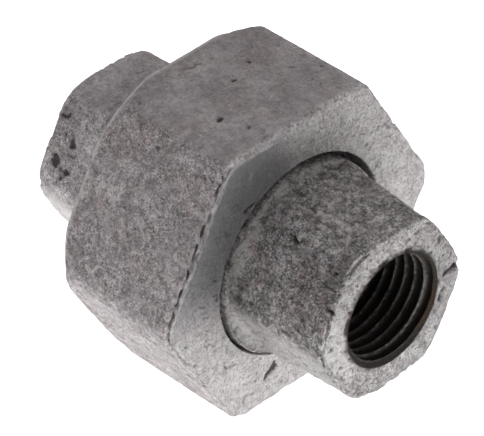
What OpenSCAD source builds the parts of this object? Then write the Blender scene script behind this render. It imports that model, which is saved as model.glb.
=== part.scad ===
// Pipe union, female to female, flat seat: head piece, tail piece, seal ring and union nut.
// Millimetres. +X runs along the pipe axis toward the tail piece, +Z is up.
// The union lies on one flat of its nut, and the origin is on the axis, midway between the two ends.

/* [Overall] */

// distance between the two end faces
overall_length = 42.6; // [41:0.1:50]
// distance from the middle of the union to the front face of the nut
nut_front_x = 8; // [7.5:0.25:8.5]

/* [Union nut] */

// distance between opposite flats of the nut
nut_across_flats = 34.4; // [33:0.1:38]
// length of the nut along the pipe axis
nut_length = 17; // [16.75:0.25:18]
// thickness of the nut's inward shoulder
nut_shoulder = 3.2; // [2.8:0.1:3.5]
// diameter of the hole in the shoulder, which the tail piece comes through
nut_hole_d = 23.4; // [23:0.1:23.5]
// length of the slope around the nut's back corners
nut_back_chamfer = 2; // [1:0.1:3]
// length of the slope around the nut's front corners
nut_front_chamfer = 0.9; // [0.4:0.1:1.5]
// how much the cast corners are rounded off
nut_corner_round = 0.5; // [0.1:0.05:0.6]

/* [Nut thread] */

// nominal diameter of the parallel thread between nut and head piece
joint_thread_d = 28; // [27.8:0.1:28.4]
// axial distance between turns of that thread
joint_thread_pitch = 1.5; // [1.4:0.05:1.6]
// axial gap left on each side of every tooth
joint_thread_gap = 0.15; // [0.12:0.01:0.2]

/* [Pipe thread] */

// largest diameter of the internal pipe thread
pipe_thread_major_d = 13.157; // [13:0.01:13.3]
// distance between turns of the pipe thread
pipe_thread_pitch = 1.337; // [1.2:0.001:1.4]
// depth of the pipe thread from each end face
pipe_thread_depth = 11; // [9:0.5:11]
// share of the full thread depth that is cut, since the tapped crests are left flat
pipe_thread_share = 0.72; // [0.68:0.01:0.75]
// diameter of the slope at each mouth
mouth_d = 13.4; // [13.2:0.1:14]

/* [Hexagonal ends] */

// distance between opposite flats at the end faces
end_across_flats = 19.3; // [18.5:0.1:19.8]
// casting draft of the six flats, in degrees
end_draft = 1.6; // [1:0.1:2]
// radius of the rounded corners, measured from the axis at the end faces
end_corner_r = 10.3; // [10:0.1:10.8]
// radius of the corners at the foot of the hexagon
foot_corner_r = 11.1; // [10.8:0.1:11.2]
// rounding of the outer edge at each end face
end_edge_round = 0.7; // [0.3:0.1:1]

/* [Tail piece] */

// diameter of the round body that fills the nut's hole
tail_body_d = 22.6; // [22.4:0.1:22.7]
// distance that the round body stands out of the nut
tail_body_proud = 0.4; // [0.2:0.1:1]
// radius of the cast fillet between the round body and the hexagon
tail_fillet = 1.6; // [1:0.1:2]
// diameter of the flange held behind the nut's shoulder
tail_flange_d = 26; // [25.6:0.1:26]
// thickness of that flange
tail_flange_t = 3.1; // [2.8:0.1:3.2]

/* [Seal ring] */

// outer diameter of the flat seal ring
seal_outer_d = 24; // [23:0.1:25]
// hole through the seal ring
seal_inner_d = 13.6; // [13:0.1:15]
// thickness of the seal ring
seal_t = 1.6; // [1.2:0.1:1.8]

/* [Head piece] */

// length of the threaded barrel behind the seat
barrel_length = 8.2; // [8:0.1:8.4]
// radius of the cast fillet between the barrel and the hexagon
head_fillet = 1.2; // [0.8:0.1:1.5]

/* [Hidden] */

// gap left between faces that press on each other
face_gap = 0.1;
// steps in one turn of a thread
thread_steps = 48;
// how far a ridge is sunk into the wall that carries it
sink = 0.15;

half_length = overall_length / 2;
nut_back_x = nut_front_x - nut_length;
shoulder_x = nut_front_x - nut_shoulder;

flange_front_x = shoulder_x - face_gap;
flange_seat_x = flange_front_x - tail_flange_t;
seal_front_x = flange_seat_x - face_gap;
seal_back_x = seal_front_x - seal_t;
head_seat_x = seal_back_x - face_gap;
barrel_end_x = head_seat_x - barrel_length;

// 60 degree thread between the nut and the head piece
tooth_slope = tan(30);
joint_depth = 0.5413 * joint_thread_pitch;
joint_nut_crest_r = joint_thread_d / 2 - joint_depth;
joint_nut_root_r = joint_thread_d / 2 + 0.1;
joint_head_crest_r = joint_thread_d / 2 - 0.12;
joint_head_root_r = joint_nut_crest_r - 0.15;
joint_pitch_r = joint_thread_d / 2 - 0.3248 * joint_thread_pitch;
joint_tooth = joint_thread_pitch / 2 - joint_thread_gap;

// 55 degree pipe thread
pipe_slope = tan(27.5);
pipe_root = pipe_thread_pitch / 20;
pipe_depth = 0.6403 * pipe_thread_pitch * pipe_thread_share;
pipe_major_r = pipe_thread_major_d / 2;
pipe_minor_r = pipe_major_r - pipe_depth;

$fa = 3;
$fs = 0.3;

// Puts a shape drawn along +Z on the pipe axis at x, running toward +X.
module toward_tail(x) {
    translate([x, 0, 0])
        rotate([0, 90, 0])
            children();
}

// Puts a shape drawn along +Z on the pipe axis at x, running toward -X.
module toward_head(x) {
    translate([x, 0, 0])
        rotate([0, -90, 0])
            children();
}

// Right-hand helical bar along +Z, between radii r_in and r_out. Its section is w_in wide on the inside
// and w_out wide on the outside. The side named by fade ("in" or "out") runs out at fade_start and fade_end.
module helix(r_in, w_in, r_out, w_out, pitch, z_start, z_end, fade, fade_start, fade_end) {
    steps = floor((z_end - z_start) / pitch * thread_steps);
    ramp = thread_steps / 4;
    function full(i) = min(1, fade_start ? i / ramp : 1, fade_end ? (steps - i) / ramp : 1);
    function grow(i) = 0.03 + 0.97 * full(i);
    function inner(i) = fade == "in" ? r_out + (r_in - r_out) * grow(i) : r_in;
    function outer(i) = fade == "out" ? r_in + (r_out - r_in) * grow(i) : r_out;
    function at(i, r, dz) = [
        r * cos(360 * (i + 0.4) / thread_steps),
        r * sin(360 * (i + 0.4) / thread_steps),
        z_start + pitch * i / thread_steps + dz
    ];
    points = [
        for (i = [0:steps])
            each [
                at(i, inner(i), -w_in / 2),
                at(i, outer(i), -w_out / 2),
                at(i, outer(i), w_out / 2),
                at(i, inner(i), w_in / 2)
            ]
    ];
    sides = [
        for (i = [0:steps - 1], k = [0:3])
            each [
                [4 * i + k, 4 * i + (k + 1) % 4, 4 * i + 4 + (k + 1) % 4],
                [4 * i + k, 4 * i + 4 + (k + 1) % 4, 4 * i + 4 + k]
            ]
    ];
    last = 4 * steps;
    ends = [
        [2, 1, 0],
        [3, 2, 0],
        [last, last + 1, last + 2],
        [last, last + 2, last + 3]
    ];
    polyhedron(points = points, faces = concat(sides, ends), convexity = 10);
}

// Hexagonal end with drafted flats, from z = 0 at its base to z = len at its end face.
module hex_end(len) {
    end_flat = end_across_flats / 2;
    difference() {
        rotate_extrude()
            difference() {
                polygon([[0, 0], [foot_corner_r, 0], [end_corner_r, len], [0, len]]);
                translate([end_corner_r - end_edge_round, len - end_edge_round])
                    difference() {
                        square(2 * end_edge_round);
                        circle(end_edge_round);
                    }
            }
        for (k = [0:5])
            rotate([0, 0, 60 * k])
                translate([end_flat, 0, len])
                    rotate([0, -end_draft, 0])
                        translate([0, -15, -30])
                            cube([15, 30, 60]);
    }
}

// Cast fillet of radius f that leads from a round body of radius r at z = 0 up to the hexagon.
module cast_fillet(r, f) {
    rotate_extrude()
        difference() {
            square([r, f]);
            translate([r, f])
                circle(f);
        }
}

// Helical groove of the pipe thread along +Z, from the mouth at z = 0 inward.
module pipe_groove() {
    helix(
        r_in = pipe_minor_r - sink,
        w_in = pipe_root + 2 * (pipe_depth + sink) * pipe_slope,
        r_out = pipe_major_r,
        w_out = pipe_root,
        pitch = pipe_thread_pitch,
        z_start = -0.4 * pipe_thread_pitch,
        z_end = pipe_thread_depth - 0.7 * pipe_thread_pitch,
        fade = "out",
        fade_start = false,
        fade_end = true
    );
}

// Opening that the pipe thread is cut in, along +Z, with the slope at its mouth.
module pipe_hole() {
    slope = mouth_d / 2 - pipe_minor_r;
    rotate_extrude()
        polygon([
            [0, -1],
            [mouth_d / 2 + 1, -1],
            [pipe_minor_r, slope],
            [pipe_minor_r, pipe_thread_depth],
            [0, pipe_thread_depth]
        ]);
}

module head_piece() {
    color("#8b8d8f")
        difference() {
            union() {
                toward_head(barrel_end_x)
                    hex_end(half_length + barrel_end_x);
                toward_head(barrel_end_x)
                    cast_fillet(joint_head_root_r, head_fillet);
                toward_tail(barrel_end_x)
                    cylinder(r = joint_head_root_r, h = barrel_length);
                toward_tail(barrel_end_x)
                    helix(
                        r_in = joint_head_root_r - sink,
                        w_in = joint_tooth + 2 * (joint_pitch_r - joint_head_root_r + sink) * tooth_slope,
                        r_out = joint_head_crest_r,
                        w_out = joint_tooth - 2 * (joint_head_crest_r - joint_pitch_r) * tooth_slope,
                        pitch = joint_thread_pitch,
                        z_start = joint_thread_pitch,
                        z_end = barrel_length - 0.6 * joint_thread_pitch,
                        fade = "out",
                        fade_start = true,
                        fade_end = true
                    );
            }
            toward_head(head_seat_x + 1)
                cylinder(r = pipe_minor_r, h = half_length);
            toward_tail(-half_length)
                pipe_hole();
            toward_tail(-half_length)
                pipe_groove();
        }
}

module tail_piece() {
    body_front_x = nut_front_x + tail_body_proud;
    color("#77787a")
        difference() {
            union() {
                toward_tail(flange_seat_x)
                    cylinder(d = tail_flange_d, h = tail_flange_t);
                toward_tail(flange_seat_x)
                    cylinder(d = tail_body_d, h = body_front_x - flange_seat_x);
                toward_tail(body_front_x)
                    cast_fillet(tail_body_d / 2, tail_fillet);
                toward_tail(body_front_x)
                    hex_end(half_length - body_front_x);
            }
            toward_tail(flange_seat_x - 1)
                cylinder(r = pipe_minor_r, h = half_length);
            toward_head(half_length)
                pipe_hole();
            toward_head(half_length)
                pipe_groove();
        }
}

module seal_ring() {
    color("#2b2b2b")
        toward_tail(seal_back_x)
            difference() {
                cylinder(d = seal_outer_d, h = seal_t);
                translate([0, 0, -1])
                    cylinder(d = seal_inner_d, h = seal_t + 2);
            }
}

module union_nut() {
    corner_r = nut_across_flats / sqrt(3) - nut_corner_round;
    thread_phase = joint_thread_pitch / 2 + (barrel_end_x - nut_back_x);
    color("#9a9c9e")
        toward_tail(nut_back_x) {
            difference() {
                intersection() {
                    rotate([0, 0, 30])
                        cylinder(d = nut_across_flats * 2 / sqrt(3), h = nut_length, $fn = 6);
                    rotate_extrude()
                        polygon([
                            [0, 0],
                            [corner_r - nut_back_chamfer * 0.8, 0],
                            [corner_r, nut_back_chamfer],
                            [corner_r, nut_length - nut_front_chamfer],
                            [corner_r - nut_front_chamfer * 0.9, nut_length],
                            [0, nut_length]
                        ]);
                }
                translate([0, 0, -1])
                    cylinder(r = joint_nut_root_r, h = nut_length - nut_shoulder + 1);
                translate([0, 0, 1])
                    cylinder(d = nut_hole_d, h = nut_length);
            }
            helix(
                r_in = joint_nut_crest_r,
                w_in = joint_tooth - 2 * (joint_pitch_r - joint_nut_crest_r) * tooth_slope,
                r_out = joint_nut_root_r + sink,
                w_out = joint_tooth + 2 * (joint_nut_root_r + sink - joint_pitch_r) * tooth_slope,
                pitch = joint_thread_pitch,
                z_start = thread_phase,
                z_end = flange_seat_x - nut_back_x,
                fade = "in",
                fade_start = true,
                fade_end = true
            );
        }
}

head_piece();
tail_piece();
seal_ring();
union_nut();
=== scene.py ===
import math

import bpy
import numpy as np
from mathutils import Matrix, Vector


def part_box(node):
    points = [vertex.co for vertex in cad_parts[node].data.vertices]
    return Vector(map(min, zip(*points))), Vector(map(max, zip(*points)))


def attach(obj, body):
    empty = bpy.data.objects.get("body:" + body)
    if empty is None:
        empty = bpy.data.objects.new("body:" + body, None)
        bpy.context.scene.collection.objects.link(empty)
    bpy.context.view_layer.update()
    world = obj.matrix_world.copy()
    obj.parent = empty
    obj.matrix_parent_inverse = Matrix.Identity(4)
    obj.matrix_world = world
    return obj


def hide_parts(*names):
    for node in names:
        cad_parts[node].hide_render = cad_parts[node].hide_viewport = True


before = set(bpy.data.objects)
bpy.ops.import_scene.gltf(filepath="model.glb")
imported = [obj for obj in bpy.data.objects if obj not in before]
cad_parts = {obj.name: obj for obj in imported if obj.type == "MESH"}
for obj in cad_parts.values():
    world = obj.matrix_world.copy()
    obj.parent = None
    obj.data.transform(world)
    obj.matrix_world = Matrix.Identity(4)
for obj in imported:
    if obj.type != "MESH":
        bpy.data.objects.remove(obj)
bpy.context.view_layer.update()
MM = 0.001

# ---------------------------------------------------------------- sizes in millimetres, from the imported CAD
nut_lo, nut_hi = [np.array(v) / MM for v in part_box("union_nut")]
tail_lo, tail_hi = [np.array(v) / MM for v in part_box("tail_piece")]
head_lo, head_hi = [np.array(v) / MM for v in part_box("head_piece")]
seal_lo, seal_hi = [np.array(v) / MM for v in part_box("seal_ring")]

NUT_BACK, NUT_FRONT = nut_lo[0], nut_hi[0]
NUT_FLAT = nut_hi[2]
SEAT_T, END_T = tail_lo[0], tail_hi[0]
END_H, SEAT_H = head_lo[0], head_hi[0]
FLOOR_Z = nut_lo[2]

SHOULDER_X = NUT_FRONT - 3.2
HOLE_R = 11.68
ROOT_R = 14.1
BODY_R = 11.3
FLANGE_R = 13.0
FLANGE_X = SHOULDER_X - 0.1
BARREL_END = SEAT_H - 8.2
JOINT_PITCH = 1.5
JOINT_PHASE = 0.6417
PIPE_PITCH = 1.337
PIPE_MAJOR = 6.5785
PIPE_MINOR = 5.962
PIPE_DEPTH = 11.0
MOUTH_R = 6.7


# ---------------------------------------------------------------- seeded 3-D noise
class Noise:
    def __init__(self, seed):
        rng = np.random.default_rng(seed)
        self.perm = rng.permutation(256)
        self.val = rng.random(256) * 2 - 1

    def at(self, p):
        """Smooth value noise in -1..1 at the points p (n, 3)."""
        i = np.floor(p).astype(np.int64)
        f = p - i
        w = f * f * f * (f * (f * 6 - 15) + 10)
        out = np.zeros(len(p))
        for dx in (0, 1):
            wx = w[:, 0] if dx else 1 - w[:, 0]
            for dy in (0, 1):
                wy = w[:, 1] if dy else 1 - w[:, 1]
                for dz in (0, 1):
                    wz = w[:, 2] if dz else 1 - w[:, 2]
                    h = self.perm[(i[:, 0] + dx) & 255]
                    h = self.perm[(h + i[:, 1] + dy) & 255]
                    h = self.perm[(h + i[:, 2] + dz) & 255]
                    out += wx * wy * wz * self.val[h]
        return out

    def fbm(self, p, octaves=4, gain=0.5):
        total, amp, norm = np.zeros(len(p)), 1.0, 0.0
        for k in range(octaves):
            total += amp * self.at(p * 2.03**k + 17.3 * k)
            norm += amp
            amp *= gain
        return total / norm


def smooth(a, b, x):
    t = np.clip((x - a) / (b - a), 0, 1)
    return t * t * (3 - 2 * t)


def soft_min(a, b, k):
    h = np.clip(0.5 + 0.5 * (b - a) / k, 0, 1)
    return b * (1 - h) + a * h - k * h * (1 - h)


# ---------------------------------------------------------------- sections
def hex_radius(theta, flat, corner):
    """Radius of a hexagon with flats up and down, each flat away, with its corners rounded to corner."""
    phi = np.mod(theta - math.pi / 2 + math.pi / 6, math.pi / 3) - math.pi / 6
    phi = np.abs(phi)
    centre = (flat - corner) / math.cos(math.pi / 6)
    meet = np.arctan2((flat - corner) * math.tan(math.pi / 6), flat)
    psi = math.pi / 6 - phi
    straight = flat / np.cos(phi)
    round_ = centre * np.cos(psi) + np.sqrt(np.maximum(corner**2 - (centre * np.sin(psi)) ** 2, 0))
    return np.where(phi <= meet, straight, round_)


def soft_hexagon(theta, flats, power):
    """Radius of a hexagon whose six flats lie at their own distances, at 30, 90, 150 ... degrees. A low power
    softens its corners."""
    total = np.zeros_like(theta)
    for k, flat in enumerate(flats):
        reach = np.maximum(np.cos(theta - math.radians(30 + 60 * k)), 0.0) / flat
        total += reach**power
    return total ** (-1.0 / power)


def thread(theta, x, pitch, phase, root, crest, sharp=0.75):
    """Radius of a right-hand screw thread along +X, from root to crest, crest where the turn is at phase."""
    turn = np.mod(x / pitch - theta / (2 * math.pi) - phase, 1.0)
    saw = np.abs(2 * turn - 1)
    wave = 0.5 + 0.5 * np.cos(2 * math.pi * turn)
    shape = sharp * np.clip(1.25 * saw - 0.125, 0, 1) + (1 - sharp) * wave
    return root + (crest - root) * shape


class Section:
    """A closed loop of stations, swept round the X axis into one closed ring-shaped mesh."""

    def __init__(self, turns):
        self.n = turns
        self.theta = np.arange(turns) * 2 * math.pi / turns
        self.rows = []

    def add(self, x, r, **tags):
        """One ring: x and r are numbers or arrays over theta. Tags weigh its displacement and its colour."""
        self.rows.append((np.broadcast_to(x, self.n), np.broadcast_to(r, self.n), tags))

    def grids(self, names):
        x = np.array([row[0] for row in self.rows], float)
        r = np.array([row[1] for row in self.rows], float)
        tags = {}
        for name in names:
            rings = [np.broadcast_to(row[2].get(name, 0.0), self.n) for row in self.rows]
            tags[name] = np.array(rings, float)
        return x, r, tags


def grid_points(x, r, theta):
    return np.stack([x, r * np.cos(theta)[None, :], r * np.sin(theta)[None, :]], axis=-1)


def grid_normals(p):
    du = np.roll(p, -1, 0) - np.roll(p, 1, 0)
    dv = np.roll(p, -1, 1) - np.roll(p, 1, 1)
    n = np.cross(du, dv)
    return n / np.maximum(np.linalg.norm(n, axis=-1, keepdims=True), 1e-12)


def build(name, section, displace, tag_names, material, body, node):
    x, r, tags = section.grids(tag_names)
    p = grid_points(x, r, section.theta)
    n = grid_normals(p)
    # the loop runs so that the normals point out of the solid
    area = np.sum((np.roll(x, -1, 0) - x) * (np.roll(r, -1, 0) + r))
    if area > 0:
        n = -n
    flat = p.reshape(-1, 3)
    depth, hollows = displace(flat, {k: v.reshape(-1) for k, v in tags.items()})
    flat = flat - n.reshape(-1, 3) * depth[:, None]
    rows, cols = x.shape
    i = np.arange(rows)[:, None]
    j = np.arange(cols)[None, :]
    a = i * cols + j
    b = ((i + 1) % rows) * cols + j
    c = ((i + 1) % rows) * cols + (j + 1) % cols
    d = i * cols + (j + 1) % cols
    quads = np.stack([a, b, c, d], axis=-1).reshape(-1, 4)
    if area <= 0:
        quads = quads[:, ::-1]
    mesh = bpy.data.meshes.new(name)
    mesh.vertices.add(len(flat))
    mesh.vertices.foreach_set("co", (flat * MM).astype(np.float32).ravel())
    mesh.loops.add(len(quads) * 4)
    mesh.loops.foreach_set("vertex_index", quads.astype(np.int32).ravel())
    mesh.polygons.add(len(quads))
    mesh.polygons.foreach_set("loop_start", np.arange(0, len(quads) * 4, 4, dtype=np.int32))
    mesh.polygons.foreach_set("use_smooth", np.ones(len(quads), dtype=bool))
    mesh.update(calc_edges=True)
    mesh.validate()
    for tag in tag_names:
        layer = mesh.attributes.new(tag, "FLOAT", "POINT")
        layer.data.foreach_set("value", tags[tag].reshape(-1).astype(np.float32))
    for word, value in (("hollows", hollows), ("calm", smooth(0.80, 0.95, n[..., 2]).reshape(-1))):
        layer = mesh.attributes.new(word, "FLOAT", "POINT")
        layer.data.foreach_set("value", value.astype(np.float32))
    obj = bpy.data.objects.new(name, mesh)
    bpy.context.collection.objects.link(obj)
    mesh.materials.append(material)
    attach(obj, body)
    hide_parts(node)
    return obj


# ---------------------------------------------------------------- materials
class Nodes:
    def __init__(self, name):
        self.mat = bpy.data.materials.new(name)
        self.mat.use_nodes = True
        self.tree = self.mat.node_tree
        self.tree.nodes.clear()
        self.out = self.new("ShaderNodeOutputMaterial")
        self.bsdf = self.new("ShaderNodeBsdfPrincipled")
        self.tree.links.new(self.bsdf.outputs[0], self.out.inputs[0])
        self.coord = self.new("ShaderNodeTexCoord").outputs["Object"]

    def new(self, kind, **settings):
        node = self.tree.nodes.new(kind)
        for key, value in settings.items():
            setattr(node, key, value)
        return node

    def link(self, value, socket):
        if hasattr(value, "links"):
            self.tree.links.new(value, socket)
        else:
            socket.default_value = value

    def math(self, op, a, b=0.0, c=None, clamp=False):
        node = self.new("ShaderNodeMath", operation=op, use_clamp=clamp)
        self.link(a, node.inputs[0])
        self.link(b, node.inputs[1])
        if c is not None:
            self.link(c, node.inputs[2])
        return node.outputs[0]

    def mapped(self, scale, offset=(0, 0, 0)):
        node = self.new("ShaderNodeMapping")
        self.link(self.coord, node.inputs["Vector"])
        node.inputs["Scale"].default_value = scale if hasattr(scale, "__len__") else (scale,) * 3
        node.inputs["Location"].default_value = offset
        return node.outputs[0]

    def noise(self, scale, detail=4.0, rough=0.55, offset=(0, 0, 0), stretch=(1, 1, 1), distortion=0.0):
        node = self.new("ShaderNodeTexNoise")
        self.link(self.mapped(tuple(scale * s / MM for s in stretch), offset), node.inputs["Vector"])
        node.inputs["Scale"].default_value = 1.0
        node.inputs["Detail"].default_value = detail
        node.inputs["Roughness"].default_value = rough
        node.inputs["Distortion"].default_value = distortion
        return node.outputs[0]

    def ramp(self, value, *stops):
        node = self.new("ShaderNodeValToRGB")
        self.link(value, node.inputs[0])
        ramp = node.color_ramp
        while len(ramp.elements) < len(stops):
            ramp.elements.new(0.5)
        for element, (at, colour) in zip(ramp.elements, stops):
            element.position = at
            element.color = (*colour, 1) if hasattr(colour, "__len__") else (colour, colour, colour, 1)
        return node.outputs[0]

    def span(self, value, lo, hi, to_lo=0.0, to_hi=1.0, kind="SMOOTHSTEP"):
        node = self.new("ShaderNodeMapRange", interpolation_type=kind)
        self.link(value, node.inputs["Value"])
        node.inputs["From Min"].default_value = lo
        node.inputs["From Max"].default_value = hi
        node.inputs["To Min"].default_value = to_lo
        node.inputs["To Max"].default_value = to_hi
        return node.outputs[0]

    def mix(self, factor, a, b, mode="MIX"):
        node = self.new("ShaderNodeMix", data_type="RGBA", blend_type=mode)
        self.link(factor, node.inputs[0])
        for value, socket in ((a, node.inputs[6]), (b, node.inputs[7])):
            self.link((*value, 1) if isinstance(value, tuple) and len(value) == 3 else value, socket)
        return node.outputs[2]

    def blend(self, factor, a, b):
        node = self.new("ShaderNodeMix", data_type="FLOAT")
        self.link(factor, node.inputs[0])
        self.link(a, node.inputs[2])
        self.link(b, node.inputs[3])
        return node.outputs[0]

    def attr(self, name):
        return self.new("ShaderNodeAttribute", attribute_name=name).outputs["Fac"]

    def bump(self, height, strength, distance, below=None):
        node = self.new("ShaderNodeBump")
        self.link(height, node.inputs["Height"])
        node.inputs["Strength"].default_value = strength
        node.inputs["Distance"].default_value = distance
        if below is not None:
            self.link(below, node.inputs["Normal"])
        return node.outputs[0]


def scaled(colour, by, plus=0.0):
    return tuple(min(1.0, by * v + plus) for v in colour)


def zinc(name, light, dark, rust, seed, speck, pore, bloom_share, grain, polish, low, end, calm):
    """Weathered hot-dip zinc on a rough casting: cloudy grey, crystalline grain with flecks that are partly
    painted glints, dark pores, pale worn edges, and tagged zones of painted shade and painted light. The cut
    and threaded surfaces are bare oily steel, darkened as painted shade, with painted highlights on the
    thread crests."""
    m = Nodes(name)
    o = (seed * 3.1, seed * 1.7, seed * 2.3)
    even = m.math("SUBTRACT", 1.0, m.math("MULTIPLY", m.attr("calm"), calm))
    cloud = m.noise(0.14, 5, 0.6, o)
    patch = m.noise(0.50, 7, 0.68, (o[1], o[0], o[2]), distortion=0.8)
    fine = m.noise(2.6, 7, 0.78, o)
    crumb = m.noise(5.5, 4, 0.8, (o[2], o[1], o[0]), distortion=0.5)
    base = m.mix(m.span(cloud, 0.36, 0.64), dark, light)
    base = m.mix(m.span(patch, 0.44, 0.62, 0.0, 0.5), base, scaled(dark, 0.78))
    # brown and lilac bloom
    bloom = m.noise(0.24, 5, 0.6, (o[0] + 9, o[2], o[1]))
    base = m.mix(m.span(bloom, 0.50, 0.68, 0.0, bloom_share), base, rust)
    tint = m.noise(0.9, 4, 0.7, (o[2] + 5, o[0], o[1]))
    base = m.mix(m.span(tint, 0.35, 0.65, 0.0, 0.22), base, (0.40, 0.375, 0.40))
    mottle = m.noise(1.15, 6, 0.74, (o[0] + 2, o[2] + 4, o[1]), distortion=0.4)
    high = 1.0 + (1.0 - low) * 1.2
    shades = m.ramp(m.span(mottle, 0.36, 0.64), (0.0, low), (0.55, 1.0), (1.0, high))
    base = m.mix(even, base, shades, "MULTIPLY")
    # crystalline flecks, in patches, partly painted glints
    where = m.span(m.noise(0.35, 4, 0.6, (o[1] + 3, o[2], o[0])), 0.40, 0.60, 0.32, 1.0)
    fleck = m.math("MULTIPLY", m.span(crumb, 0.50, 0.60), m.span(fine, 0.42, 0.55))
    fleck = m.math("MULTIPLY", fleck, even)
    base = m.mix(m.math("MULTIPLY", m.math("MULTIPLY", fleck, where), speck), base, scaled(light, 1.7, 0.12))
    # dark pores between them
    gap = m.math("MULTIPLY", m.span(crumb, 0.50, 0.41), m.span(fine, 0.57, 0.46))
    gap = m.math("MULTIPLY", gap, even)
    base = m.mix(m.math("MULTIPLY", gap, pore), base, scaled(dark, 0.18))
    stain = m.span(m.noise(1.25, 6, 0.75, (o[0], o[1] + 7, o[2])), 0.60, 0.68)
    base = m.mix(m.math("MULTIPLY", stain, pore * 0.8), base, scaled(dark, 0.22))
    # worn edges are pale, dents and pits are darker
    worn = m.math("MULTIPLY", m.attr("edge"), m.span(patch, 0.40, 0.60, 0.10, 0.75))
    worn = m.math("MULTIPLY", worn, m.span(fine, 0.38, 0.58))
    base = m.mix(worn, base, scaled(light, 1.45, 0.10))
    ends = m.mix(m.span(mottle, 0.38, 0.60), scaled(dark, 1.15), (end, end * 1.01, end * 0.99))
    base = m.mix(m.math("MULTIPLY", m.attr("face"), 0.75), base, ends)
    base = m.mix(m.math("MULTIPLY", m.attr("face"), m.math("MULTIPLY", gap, pore)), base, scaled(dark, 0.18))
    # darker zones: painted shade (the tail piece's shadow on the nut's front face, the shaded side of the end
    # faces) over darker patches and cracks of the surface, and the darker front edge of the nut
    share = m.math("MULTIPLY", m.attr("burnish"), m.span(patch, 0.30, 0.50, 0.55, 0.85))
    base = m.mix(share, base, (0.16, 0.162, 0.17))
    share = m.math("MULTIPLY", m.attr("disc"), m.span(mottle, 0.40, 0.58, 0.15, 0.95))
    base = m.mix(share, base, (0.66, 0.65, 0.61))
    # paler zones: the pale back rim of the nut, and painted light on the down-facing flats and the -Y part of
    # the end faces
    share = m.math("MULTIPLY", m.attr("rim"), m.span(patch, 0.38, 0.52, 0.35, 0.9))
    base = m.mix(share, base, (0.72, 0.70, 0.69))
    # dents and pits are darker
    base = m.mix(m.span(m.attr("hollows"), 0.08, 0.26, 0.0, 0.90), base, scaled(dark, 0.16))
    cut = m.attr("cut")
    # bare steel: dark oily steel, made near black as painted shade inside the bores
    bare = m.mix(m.span(patch, 0.42, 0.60), (0.035, 0.033, 0.032), (0.045, 0.030, 0.022))
    # painted highlight: the thread crests are lighter, standing in for their glints
    crest_glint = m.mix(m.span(fine, 0.45, 0.55), (0.10, 0.095, 0.09), (0.36, 0.34, 0.33))
    bare = m.mix(m.attr("crest"), bare, crest_glint)
    base = m.mix(cut, base, bare)
    m.link(base, m.bsdf.inputs["Base Color"])
    rough = m.span(fine, 0.35, 0.65, polish + 0.26, polish)
    m.link(m.blend(cut, rough, 0.30), m.bsdf.inputs["Roughness"])
    m.link(m.span(cut, 0.0, 1.0, 0.35, 1.0, "LINEAR"), m.bsdf.inputs["Metallic"])
    lumps = m.bump(mottle, 0.35 * grain, 0.0006)
    coarse = m.bump(patch, 0.35 * grain, 0.0005, lumps)
    middle = m.bump(fine, 0.8 * grain, 0.00022, coarse)
    small = m.bump(crumb, 0.7 * grain, 0.00009, middle)
    m.link(small, m.bsdf.inputs["Normal"])
    return m.mat


nut_mat = zinc(
    "nut_zinc", light=(0.55, 0.51, 0.515), dark=(0.385, 0.343, 0.352), rust=(0.415, 0.33, 0.31),
    seed=3, speck=0.85, pore=0.72, bloom_share=0.65, grain=1.4, polish=0.46, low=0.66, end=0.53, calm=0.6,
)
head_mat = zinc(
    "head_zinc", light=(0.55, 0.51, 0.52), dark=(0.37, 0.333, 0.342), rust=(0.38, 0.31, 0.305),
    seed=8, speck=0.8, pore=0.75, bloom_share=0.45, grain=1.2, polish=0.46, low=0.66, end=0.5, calm=0.55,
)
tail_mat = zinc(
    "tail_zinc", light=(0.68, 0.635, 0.635), dark=(0.25, 0.218, 0.218), rust=(0.33, 0.235, 0.205),
    seed=5, speck=1.0, pore=1.0, bloom_share=0.6, grain=2.2, polish=0.36, low=0.42, end=0.41, calm=0.0,
)


def rubber(name):
    m = Nodes(name)
    grain = m.noise(4.0, 5, 0.6)
    m.link(m.mix(grain, (0.012, 0.012, 0.012), (0.035, 0.034, 0.033)), m.bsdf.inputs["Base Color"])
    m.bsdf.inputs["Roughness"].default_value = 0.75
    m.link(m.bump(grain, 0.4, 0.00005), m.bsdf.inputs["Normal"])
    return m.mat


seal_mat = rubber("seal")

# ---------------------------------------------------------------- meshes
TURNS = 900
STEP = 0.14
THREAD_STEP = 0.09


def stations(a, b, step=None):
    step = step or STEP
    return np.linspace(a, b, max(2, int(round(abs(b - a) / step)) + 1))


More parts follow.
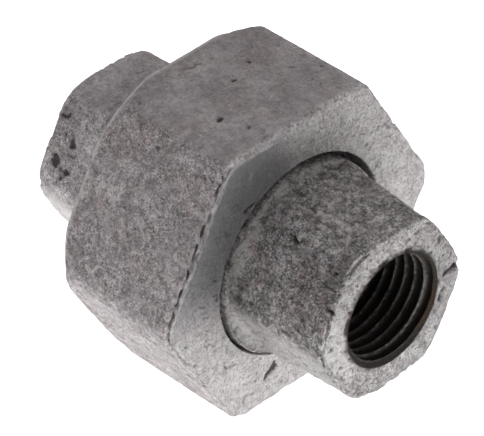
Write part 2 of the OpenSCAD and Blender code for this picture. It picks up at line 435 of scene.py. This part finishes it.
def nut_mesh():
    s = Section(TURNS)
    th = s.theta
    flat = NUT_FLAT - 0.02            # room inside the CAD box
    front, back = NUT_FRONT - 0.02, NUT_BACK + 0.02
    corner = 2.9

    def outer(x, shrink):
        r = hex_radius(th, flat - shrink, corner - shrink)
        cone_back = 17.75 + (x - back) * 0.95
        cone_front = 18.9 + (front - x) * 1.0
        return soft_min(soft_min(r, cone_back, 0.25), cone_front, 0.3)

    # edge rounding: small at the back, and at the front widest along the top
    e_b = 0.22
    e_f = 0.5 + 0.6 * np.exp(-((th - math.radians(92)) / 0.42) ** 2) + 0.15 * np.sin(3 * th)
    for t in np.linspace(0, 1, len(stations(back, front))):
        x = back + e_b + t * (front - e_f - back - e_b)
        rim_line = math.exp(-(t * 16 / 0.22) ** 2)
        s.add(x, outer(x, 0), side=1.0, edge=0.35 * math.exp(-((1 - t) * 16 / 0.6) ** 2), rim=rim_line)
    # the front edge rounding is darker in ragged patches, from the upper left corner round to the left corner
    line = smooth(math.radians(119), math.radians(125), th) * smooth(math.radians(187), math.radians(180), th)
    for k in range(1, 11):
        a = k / 10 * math.pi / 2
        x = front - e_f + e_f * math.sin(a)
        dark_edge_line = line * ragged(th, 17.0, 0.4 * k, 0.55) * smooth(0.2, 0.5, k / 10)
        s.add(x, outer(x, e_f * (1 - math.cos(a))), face=k / 10, side=1 - k / 10,
              edge=math.sin(2 * a) ** 0.5, burnish=dark_edge_line)
    rim = outer(front, e_f)
    # the part of the front face between the upper left corner and the hole is darker: painted shadow of the
    # tail piece over a darker patch of the surface
    burnish = smooth(1.55, 1.85, th) * smooth(3.35, 2.85, th)
    hole_e = 0.18
    for u in np.linspace(0, 1, len(stations(0, 8, STEP)))[1:]:
        s.add(front, rim + (HOLE_R + hole_e - rim) * u, face=1.0, burnish=burnish * smooth(0.0, 0.10, u))
    for k in range(1, 4):
        a = k / 3 * math.pi / 2
        s.add(front - hole_e * (1 - math.cos(a)), HOLE_R + hole_e * (1 - math.sin(a)), face=0.6)
    for x in stations(front - 0.4, SHOULDER_X, 0.4):
        s.add(x, HOLE_R, cut=0.5)
    for r in stations(HOLE_R + 0.3, ROOT_R, 0.5):
        s.add(SHOULDER_X, r, cut=0.6)
    crest = ROOT_R - 0.9
    for x in stations(SHOULDER_X - 0.4, SEAT_T, 0.5):
        s.add(x, ROOT_R, cut=0.6)
    for x in stations(SEAT_T - 0.05, back + 0.9, THREAD_STEP):
        fade = smooth(SEAT_T - 0.1, SEAT_T - 0.8, x) * smooth(back + 0.5, back + 1.6, x)
        r = thread(th, x, JOINT_PITCH, JOINT_PHASE + 0.5, ROOT_R, ROOT_R + (crest - ROOT_R) * fade)
        s.add(x, r, cut=0.8)
    for k in range(0, 4):
        s.add(back + 0.6 - 0.2 * k, ROOT_R + 0.15 * k, cut=0.6)
    back_rim = outer(back, e_b)
    for u in np.linspace(0, 1, len(stations(0, 3.5, STEP))):
        s.add(back, ROOT_R + 0.7 + (back_rim - ROOT_R - 0.7) * u, face=1.0)
    for k in range(1, 4):
        a = (1 - k / 4) * math.pi / 2
        x = back + e_b - e_b * math.sin(a)
        s.add(x, outer(x, e_b * (1 - math.cos(a))), side=1 - math.sin(a), edge=0.8, rim=1.0)
    return s


def ragged(theta, radius, along, level):
    """A blotchy weight 0..1 round the axis."""
    x = np.full(theta.shape, float(along))
    p = np.stack([x, radius * np.cos(theta), radius * np.sin(theta)], axis=1)
    return np.clip(level + 1.6 * nz.fbm(p * 1.3, 3), 0, 1)


def end_piece(s, sign, base_x, end_x, foot, tip, body_r, fillet, soft):
    """Stations of the hexagonal end, from its base out to the end face and in to the mouth of the bore. foot
    and tip are the distances of the six flats at the base and at the end face."""
    th = s.theta
    span = abs(end_x - base_x)
    edge = 0.7
    foot, tip = np.array(foot), np.array(tip)

    def hexa(u, shrink=0.0):
        t = u / span
        power = 34 * (1 - t) ** 2 + soft * t
        return soft_hexagon(th, foot + (tip - foot) * t, power) - shrink

    def outer(u, shrink=0.0):
        h = hexa(u, shrink)
        if u < fillet:
            h = np.minimum(body_r, h + fillet - math.sqrt(max(fillet**2 - (fillet - u) ** 2, 0)))
        return h

    # painted light: the flat facing down and towards -Y is paler, as if lit from the floor
    low = smooth(3.10, 3.35, th) * smooth(4.30, 4.05, th)
    for u in stations(0.0, fillet, STEP * 0.7):
        s.add(base_x + sign * u, outer(u), side=1.0, disc=1 - u / fillet, rim=0.5 * low)
    for u in stations(fillet + STEP, span - edge, STEP):
        s.add(base_x + sign * u, outer(u), side=1.0, rim=0.85 * low)
    for k in range(1, 9):
        a = k / 8 * math.pi / 2
        u = span - edge + edge * math.sin(a)
        s.add(base_x + sign * u, outer(u, edge * (1 - math.cos(a))), side=1 - k / 8, face=k / 8,
              edge=0.8 * math.sin(2 * a) ** 0.5)
    rim = outer(span, edge)
    for u in np.linspace(0, 1, len(stations(0, 3.2, STEP)))[1:]:
        grime = smooth(0.78, 1.0, u) * ragged(th, 7.0, 3.0 * u, 0.35)
        # shade: painted shade, over dark speckled cracks, on the end face below and towards +Y; pale: painted
        # light on the end face towards -Y
        shade = np.maximum(smooth(4.3, 4.8, th), smooth(0.5, 0.2, th)) * ragged(th, 8.5, 2.0 * u, 0.30)
        pale = smooth(2.6, 3.0, th) * smooth(4.0, 3.7, th)
        s.add(end_x, rim + (MOUTH_R + 0.12 - rim) * u, face=1.0, cut=0.9 * grime,
              burnish=0.6 * shade, rim=0.5 * pale)


def bore(s, sign, end_x, inner_x, phase):
    th = s.theta
    first = end_x - sign * 0.06
    for x in stations(first, end_x - sign * PIPE_DEPTH, THREAD_STEP):
        d = abs(end_x - x)
        fade = smooth(PIPE_DEPTH - 0.3, PIPE_DEPTH - 1.6, d)
        r = thread(th, x, PIPE_PITCH, phase, PIPE_MINOR, PIPE_MINOR + (PIPE_MAJOR - PIPE_MINOR) * fade, 0.45)
        r = np.maximum(r, MOUTH_R - d)
        s.add(x, r, cut=1.0, crest=np.clip((PIPE_MAJOR - r) / (PIPE_MAJOR - PIPE_MINOR), 0, 1) ** 4)
    for x in stations(end_x - sign * (PIPE_DEPTH + 0.3), inner_x + sign * 0.3, 0.8):
        s.add(x, PIPE_MINOR, cut=0.8)


def body_offset(theta):
    """The round body hangs a little to one side in the nut's hole, and its cast rim is uneven."""
    return 0.19 * np.cos(theta - math.radians(232)) + 0.05 * np.sin(3 * theta + 1) + 0.03 * np.sin(7 * theta)


def tail_mesh():
    s = Section(TURNS)
    base = NUT_FRONT + 0.4
    end = END_T - 0.03
    # from the seat out over the flange, along the round body to the hexagon
    for r in stations(PIPE_MINOR + 0.3, FLANGE_R - 0.3, 0.6):
        s.add(SEAT_T + 0.02, r, cut=0.7)
    s.add(SEAT_T + 0.3, FLANGE_R - 0.02, cut=0.6)
    s.add(FLANGE_X - 0.3, FLANGE_R - 0.02, cut=0.6)
    s.add(FLANGE_X - 0.02, FLANGE_R - 0.3, cut=0.6)
    s.add(FLANGE_X - 0.02, BODY_R + 0.2, cut=0.5)
    for x in stations(FLANGE_X + 0.3, base - 0.25, 0.3):
        s.add(x, BODY_R - 0.02 + body_offset(s.theta), side=0.5)
    off = body_offset(s.theta)
    for r in stations(BODY_R - 0.12, BODY_R - 0.24, 0.06):
        s.add(base, r + off, side=0.6, face=0.4, edge=0.7, disc=1.0)
    end_piece(s, 1, base, end, foot=(9.95, 10.35, 9.7, 9.8, 10.0, 10.0),
              tip=(9.75, 9.7, 9.8, 9.85, 10.1, 10.1), body_r=BODY_R - 0.24 + off, fillet=0.8, soft=8.5)
    bore(s, 1, end, SEAT_T, 0.865 + 0.5)
    return s


def head_mesh():
    s = Section(TURNS)
    th = s.theta
    end = END_H + 0.03
    root = ROOT_R - 1.06
    for r in stations(PIPE_MINOR + 0.3, root - 0.5, 0.6):
        s.add(SEAT_H - 0.02, r, cut=0.7)
    for x in stations(SEAT_H - 0.4, BARREL_END, THREAD_STEP):
        fade = smooth(SEAT_H - 0.5, SEAT_H - 1.2, x) * smooth(BARREL_END + 0.5, BARREL_END + 1.4, x)
        r = thread(th, x, JOINT_PITCH, JOINT_PHASE, root, root + 0.82 * fade)
        s.add(x, r, cut=0.7)
    base = BARREL_END - 0.1
    end_piece(s, -1, base, end, foot=(10.1, 10.1, 10.15, 10.1, 10.0, 10.0),
              tip=(9.85, 9.95, 10.0, 9.95, 9.85, 9.85), body_r=np.full(TURNS, root), fillet=1.2, soft=9.0)
    bore(s, -1, end, SEAT_H, 0.135 + 0.5)
    return s


def seal_mesh():
    s = Section(max(120, TURNS // 3))
    lo, hi = seal_lo[0], seal_hi[0]
    e = 0.2
    for x, r in ((lo + e, 12.0), (hi - e, 12.0), (hi, 12.0 - e), (hi, 10.4), (hi, 8.4), (hi, 6.8 + e),
                 (hi - e, 6.8), (lo + e, 6.8), (lo, 6.8 + e), (lo, 8.4), (lo, 10.4), (lo, 12.0 - e)):
        s.add(x, r)
    return s


nz = Noise(7)
nz2 = Noise(19)


def dent(p, start, end, radius, depth):
    """Depth of a dent along the line from start to end, at the points p."""
    a, b = np.array(start, float), np.array(end, float)
    d = b - a
    t = np.clip(((p - a) @ d) / max(d @ d, 1e-9), 0, 1)
    gap = np.linalg.norm(p - a - t[:, None] * d, axis=1)
    return depth * np.exp(-((gap / radius) ** 2) ** 2.0)


def cast_texture(amp_wide, amp_mid, amp_fine, pit_amp, chip_amp, dents):
    def displace(p, tags):
        skin = np.clip(tags["side"] + tags["face"], 0, 1)
        wide = 0.5 + 0.5 * nz.fbm(p * 0.11, 2)
        mid = 0.5 + 0.5 * nz.fbm(p * 0.45 + 5, 3)
        fine = 0.5 + 0.5 * nz2.fbm(p * 1.9, 3, 0.6)
        warp = p + 0.35 * np.stack([nz.at(p * 1.3 + 40), nz.at(p * 1.3 + 60), nz.at(p * 1.3 + 80)], axis=1)
        pits = smooth(0.42, 0.62, nz2.fbm(warp * 0.8 + 31, 3))
        pits = pits + 0.6 * smooth(0.40, 0.60, nz.fbm(warp * 1.9 + 3, 2))
        chips = smooth(-0.05, 0.45, nz2.fbm(warp * 0.75 + 71, 3))
        d = amp_wide * wide + amp_mid * mid + amp_fine * fine + pit_amp * pits
        d = d + chip_amp * chips * tags["edge"]
        marks = sum(dent(warp, *mark) for mark in dents)
        return (d + marks) * skin, (marks + 0.8 * pit_amp * pits) * skin
    return displace


NUT_DENTS = (
    ((-2.1, 0.4, 17.2), (-2.0, 0.6, 17.2), 0.34, 0.34),
    ((1.7, -5.3, 17.2), (1.5, -5.1, 17.2), 0.36, 0.34),
    ((4.8, -4.1, 17.2), (4.7, -3.8, 17.2), 0.24, 0.22),
    ((-4.3, 5.1, 17.2), (-4.2, 5.0, 17.2), 0.30, 0.26),
    ((-3.2, 3.9, 17.2), (-3.0, 3.9, 17.2), 0.34, 0.28),
    ((6.5, -5.6, 17.2), (7.3, -3.6, 17.2), 0.16, 0.20),
    ((5.9, -4.6, 17.2), (6.3, -3.0, 17.2), 0.12, 0.14),
    ((-7.4, -1.9, 17.2), (-6.6, 0.4, 17.2), 0.26, 0.20),
    ((0.4, 6.3, 17.2), (1.0, 6.5, 17.2), 0.22, 0.20),
    ((2.6, 8.8, 17.2), (2.7, 9.0, 17.2), 0.28, 0.20),
    ((8.0, -5.4, -13.6), (8.0, -4.0, -12.6), 0.34, 0.45),
    ((8.0, -9.0, -14.6), (8.0, -8.7, -14.4), 0.22, 0.22),
    ((8.0, -7.4, 9.9), (8.0, -6.2, 9.9), 0.30, 0.30),
    ((8.0, -11.9, 1.6), (8.0, -11.8, 0.9), 0.22, 0.22),
    ((8.0, 13.1, 9.3), (8.0, 13.6, 9.0), 0.20, 0.20),
    ((7.6, -10.8, 16.0), (7.9, -11.9, 14.2), 0.30, 0.26),
    ((7.8, -12.3, 13.4), (7.9, -13.0, 12.1), 0.22, 0.28),
    ((7.7, -13.5, 11.0), (7.8, -14.0, 10.2), 0.26, 0.30),
    ((7.9, -14.4, 9.5), (7.8, -15.2, 7.9), 0.18, 0.26),
    ((7.8, -15.8, 6.8), (7.9, -16.3, 6.1), 0.24, 0.30),
    ((7.9, -16.9, 4.9), (7.8, -17.7, 3.4), 0.20, 0.28),
    ((7.7, -18.1, 2.6), (7.8, -18.6, 1.7), 0.28, 0.28),
)
HEAD_DENTS = (
    ((-18.5, -8.4, 6.2), (-17.9, -8.6, 5.6), 0.55, 0.34),
    ((-19.3, -9.7, 3.3), (-18.9, -9.8, 3.0), 0.50, 0.32),
    ((-17.6, -9.9, 2.6), (-17.9, -10.0, 2.1), 0.55, 0.30),
    ((-20.6, -7.3, 7.6), (-19.6, -7.2, 7.8), 0.45, 0.30),
    ((-17.7, 1.3, 9.9), (-16.4, 2.4, 9.9), 0.24, 0.26),
    ((-15.4, -4.0, 10.2), (-15.0, -3.6, 10.2), 0.24, 0.20),
)
TAIL_DENTS = (
    ((21.3, 7.9, 0.1), (21.3, 10.6, 0.1), 0.30, 0.60),
    ((20.4, 10.1, 0.1), (21.3, 10.1, 0.1), 0.34, 0.50),
    ((21.3, 6.9, -3.0), (21.3, 7.9, -2.0), 0.30, 0.30),
    ((21.3, -8.6, 4.6), (20.2, -8.8, 5.0), 0.34, 0.26),
    ((14.0, -4.9, 9.6), (14.8, -4.4, 9.6), 0.34, 0.24),
    ((17.1, -8.9, -2.6), (18.4, -9.0, -2.2), 0.26, 0.24),
)

TAGS = ("side", "face", "edge", "cut", "disc", "rim", "burnish", "crest")
build("nut_casting", nut_mesh(), cast_texture(0.04, 0.05, 0.11, 0.14, 0.34, NUT_DENTS),
      TAGS, nut_mat, "nut", "union_nut")
build("tail_casting", tail_mesh(), cast_texture(0.10, 0.16, 0.24, 0.22, 0.38, TAIL_DENTS),
      TAGS, tail_mat, "tail", "tail_piece")
build("head_casting", head_mesh(), cast_texture(0.05, 0.06, 0.11, 0.12, 0.22, HEAD_DENTS),
      TAGS, head_mat, "head", "head_piece")
build("seal_gasket", seal_mesh(), lambda p, tags: (np.zeros(len(p)), np.zeros(len(p))),
      TAGS, seal_mat, "seal", "seal_ring")

# ---------------------------------------------------------------- stage and light
bpy.ops.mesh.primitive_plane_add(size=6.0, location=(0, 0, FLOOR_Z * MM))
floor = bpy.context.object
floor.name = "floor"
f = Nodes("floor")
f.bsdf.inputs["Base Color"].default_value = (0.82, 0.82, 0.82, 1)
f.bsdf.inputs["Roughness"].default_value = 0.9
f.bsdf.inputs["Emission Color"].default_value = (1, 1, 1, 1)
spot = f.new("ShaderNodeVectorMath", operation="LENGTH")
f.link(f.mapped(1.0, (0.010, -0.006, 0)), spot.inputs[0])
f.link(f.span(spot.outputs["Value"], 0.058, 0.090, 1.3, 0.3), f.bsdf.inputs["Emission Strength"])
floor.data.materials.append(f.mat)

world = bpy.data.worlds.new("world")
bpy.context.scene.world = world
world.use_nodes = True
wt = world.node_tree
sky = wt.nodes["Background"]
sky.inputs[0].default_value = (1.0, 0.985, 0.985, 1)
way = wt.nodes.new("ShaderNodeTexCoord")
part = wt.nodes.new("ShaderNodeSeparateXYZ")
rise = wt.nodes.new("ShaderNodeMapRange")
wt.links.new(way.outputs["Generated"], part.inputs[0])
wt.links.new(part.outputs["Z"], rise.inputs["Value"])
rise.inputs["From Min"].default_value = 0.0
rise.inputs["From Max"].default_value = 0.9
rise.inputs["To Min"].default_value = 0.2
rise.inputs["To Max"].default_value = 0.79
wt.links.new(rise.outputs[0], sky.inputs[1])


def area(name, at, toward, size, power):
    light = bpy.data.lights.new(name, "AREA")
    light.shape = "DISK"
    light.size = size
    light.energy = power
    obj = bpy.data.objects.new(name, light)
    bpy.context.collection.objects.link(obj)
    obj.location = at
    obj.rotation_euler = (Vector(toward) - Vector(at)).to_track_quat("-Z", "Y").to_euler()
    obj.visible_camera = False


area("low_softbox", (0.055, 0.005, -0.0088), (0.010, 0.0, 0.004), 0.016, 0.016)

# ---------------------------------------------------------------- camera
AZ, EL, ROLL, DIST = math.radians(46.43), math.radians(38.2), math.radians(1.72), 0.4497
target = Vector((-0.00048, -0.00026, 0.00034))
back = Vector((math.sin(AZ) * math.cos(EL), -math.cos(AZ) * math.cos(EL), math.sin(EL)))
right = Vector((math.cos(AZ), math.sin(AZ), 0))
up = back.cross(right)
right_r = right * math.cos(ROLL) - up * math.sin(ROLL)
up_r = up * math.cos(ROLL) + right * math.sin(ROLL)
cam_data = bpy.data.cameras.new("camera")
cam_data.lens = 318.6
cam_data.sensor_width = 36
cam_data.clip_start = 0.01
cam_data.clip_end = 20
cam = bpy.data.objects.new("camera", cam_data)
bpy.context.collection.objects.link(cam)
cam.matrix_world = Matrix((
    (right_r.x, up_r.x, back.x, target.x + back.x * DIST),
    (right_r.y, up_r.y, back.y, target.y + back.y * DIST),
    (right_r.z, up_r.z, back.z, target.z + back.z * DIST),
    (0, 0, 0, 1),
))
bpy.context.scene.camera = cam
bpy.context.scene.view_settings.view_transform = "Standard"
